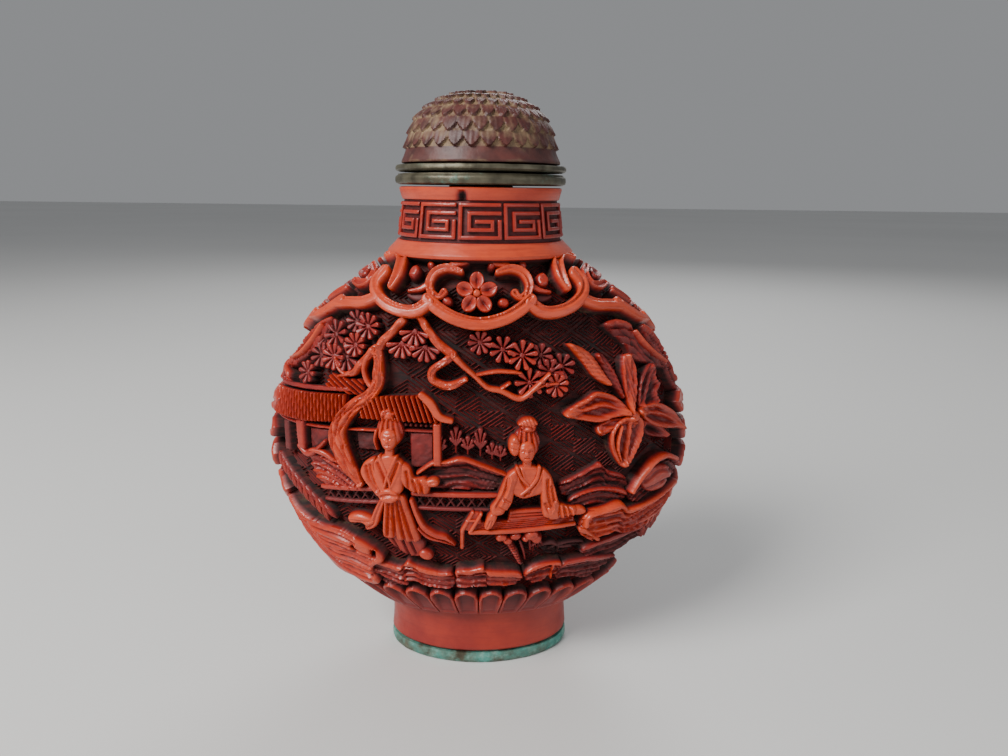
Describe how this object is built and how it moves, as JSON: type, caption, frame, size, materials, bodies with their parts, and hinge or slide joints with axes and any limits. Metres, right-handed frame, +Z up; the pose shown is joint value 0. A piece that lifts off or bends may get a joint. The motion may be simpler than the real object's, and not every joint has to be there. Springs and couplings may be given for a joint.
{
  "type": "snuff bottle",
  "caption": "Flattened round snuff bottle of carved red lacquer on an oval foot, with a garden scene in relief, a fret neck, brass rims and a lift-off dome stopper.",
  "frame": {"origin": "centre of the underside of the foot rim", "axes": "+Z up through the neck, -Y out of the front with the two ladies, +X to the viewer's right"},
  "size_m": [0.0562, 0.0301, 0.076],
  "materials": {
    "red_lacquer": "satin carved lacquer, darker in the recesses",
    "dark_lacquer": "worn satin, dusty in the recesses",
    "aged_brass": "dull, dusty, green at the edges",
    "verdigris_brass": "matte verdigris"
  },
  "bodies": {
    "root": {"bottle": "red_lacquer", "foot_rim": "verdigris_brass", "mouth_rim": "aged_brass", "stopper_collar": "aged_brass", "stopper": "dark_lacquer"}
  },
  "joints": []
}
